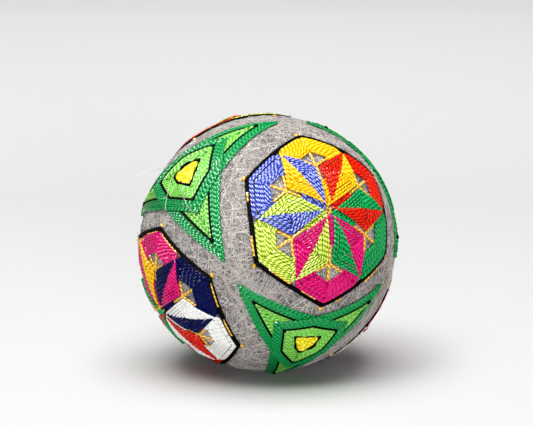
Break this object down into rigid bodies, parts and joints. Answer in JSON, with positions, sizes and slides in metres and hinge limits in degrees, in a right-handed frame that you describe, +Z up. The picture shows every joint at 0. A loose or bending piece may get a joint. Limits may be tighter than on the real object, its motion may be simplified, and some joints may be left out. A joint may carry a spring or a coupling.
{
  "type": "temari ball",
  "caption": "Thread-wound decorative ball sewn all over with black-framed medallions of interlaced coloured hexagon rings and green three-winged stars.",
  "frame": {"origin": "middle of the flat resting spot under the ball", "axes": "+Z up, -Y toward the front of the ball, +X to the right as seen from the front"},
  "size_m": [0.0828, 0.0824, 0.0802],
  "materials": {
    "wound": "thin matt thread wound in every direction",
    "black": "twisted cotton thread with a soft sheen",
    "lime": "twisted cotton thread with a soft sheen",
    "magenta": "twisted cotton thread with a soft sheen",
    "green": "twisted cotton thread with a soft sheen",
    "red": "twisted cotton thread with a soft sheen",
    "orange": "twisted cotton thread with a soft sheen",
    "yellow": "twisted cotton thread with a soft sheen",
    "blue": "twisted cotton thread with a soft sheen",
    "navy": "twisted cotton thread with a soft sheen",
    "white": "twisted cotton thread with a soft sheen",
    "wing_green": "twisted cotton thread with a soft sheen",
    "leaf_green": "twisted cotton thread with a soft sheen",
    "heart_yellow": "twisted cotton thread with a soft sheen",
    "gold": "thin metallic gold thread"
  },
  "bodies": {
    "root": {"ball": "wound", "front_frame": "black", "front_ring_lime": "lime", "front_ring_magenta": "magenta", "front_ring_green": "green", "front_ring_red": "red", "front_ring_yellow": "yellow", "front_ring_blue": "blue", "left_frame": "black", "left_ring_navy": "navy", "left_ring_magenta": "magenta", "left_ring_yellow": "yellow", "left_ring_green": "green", "left_ring_red": "red", "left_ring_white": "white", "under_frame": "black", "under_ring_magenta": "magenta", "under_ring_white": "white", "under_ring_blue": "blue", "under_ring_orange": "orange", "under_ring_lime": "lime", "under_ring_red": "red", "crown_frame": "black", "crown_ring_lime": "lime", "crown_ring_green": "green", "crown_ring_magenta": "magenta", "crown_ring_white": "white", "crown_ring_navy": "navy", "crown_ring_orange": "orange", "upper_star": "wing_green", "upper_wing_1": "leaf_green", "upper_wing_2": "leaf_green", "upper_wing_3": "leaf_green", "upper_hexagon": "leaf_green", "upper_heart": "heart_yellow", "lower_star": "wing_green", "lower_wing_1": "leaf_green", "lower_wing_2": "leaf_green", "lower_wing_3": "leaf_green", "lower_hexagon": "leaf_green", "lower_heart": "heart_yellow", "right_star": "wing_green", "right_wing_1": "leaf_green", "right_wing_2": "leaf_green", "right_wing_3": "leaf_green", "right_hexagon": "leaf_green", "right_heart": "heart_yellow", "rear_star": "wing_green", "rear_wing_1": "leaf_green", "rear_wing_2": "leaf_green", "rear_wing_3": "leaf_green", "rear_hexagon": "leaf_green", "rear_heart": "heart_yellow"}
  },
  "joints": []
}
